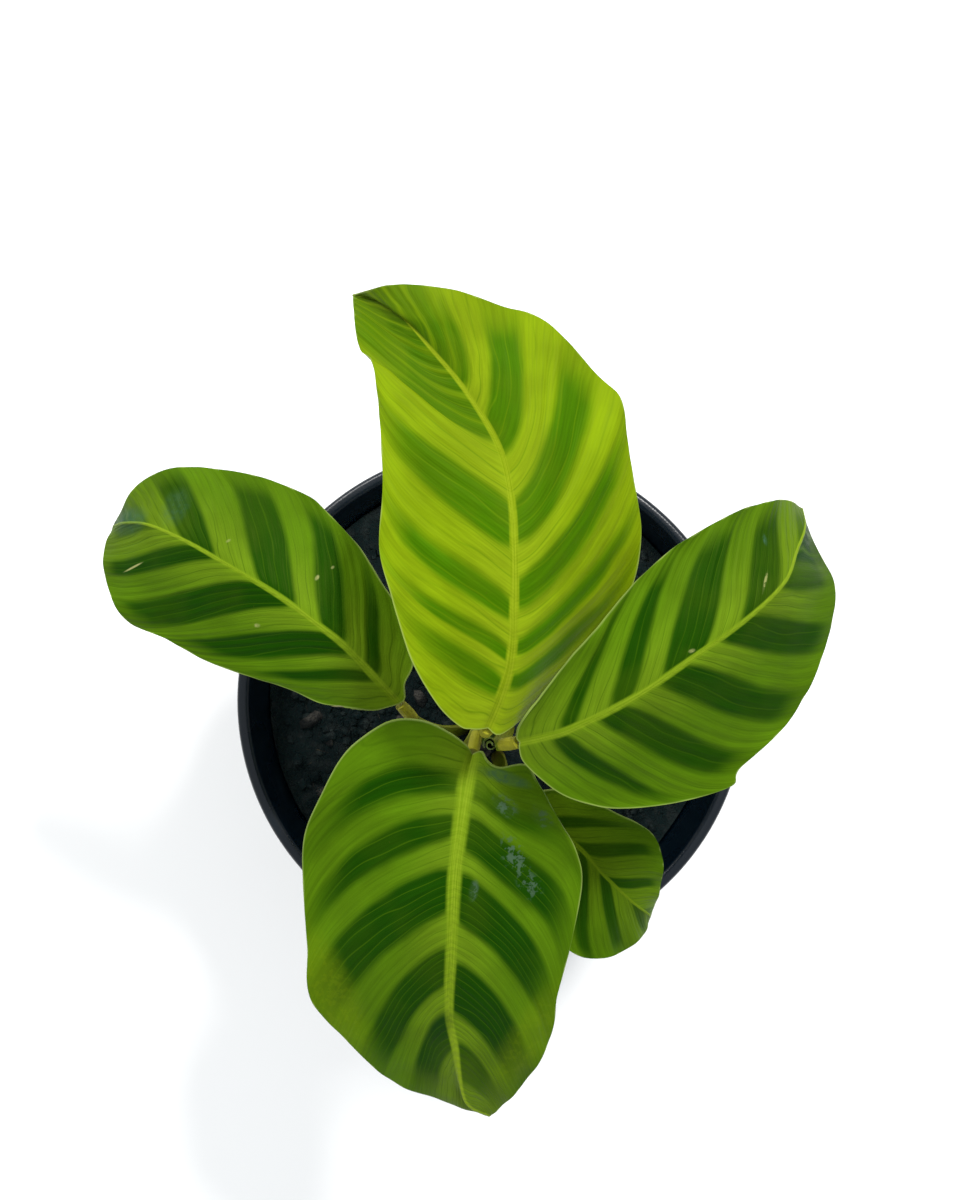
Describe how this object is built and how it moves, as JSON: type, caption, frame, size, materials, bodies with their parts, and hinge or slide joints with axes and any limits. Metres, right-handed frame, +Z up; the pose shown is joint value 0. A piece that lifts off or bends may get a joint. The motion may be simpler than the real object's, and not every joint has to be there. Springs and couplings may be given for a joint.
{
  "type": "calathea zebrina in a nursery pot",
  "caption": "Young prayer plant with large striped leaves on winged stalks, growing in soil in a round black nursery pot.",
  "frame": {"origin": "middle of the pot's flat underside", "axes": "+Z up, +Y towards the newest, lime green leaf, +X towards the leaf with its tip at the right when seen from above"},
  "size_m": [0.248, 0.2832, 0.3114],
  "materials": {
    "pot": "black satin plastic",
    "soil": "damp loose potting mix",
    "blade_lime": "soft matte leaf, lime with darker green stripes",
    "blade_green": "soft satin leaf, mid green with dark green stripes",
    "stalk": "olive stalk with a yellowish joint",
    "rolled_leaf": "dark green with pale edges",
    "dried_sheath": "dry papery brown"
  },
  "bodies": {
    "root": {"pot": "pot", "soil": "soil", "blade_back": "blade_lime", "blade_left": "blade_green", "blade_right": "blade_green", "blade_front": "blade_green", "blade_low": "blade_green", "stalk_back": "stalk", "stalk_left": "stalk", "stalk_right": "stalk", "stalk_front": "stalk", "stalk_low": "stalk", "rolled_young_leaf": "rolled_leaf", "dried_sheath": "dried_sheath"}
  },
  "joints": []
}
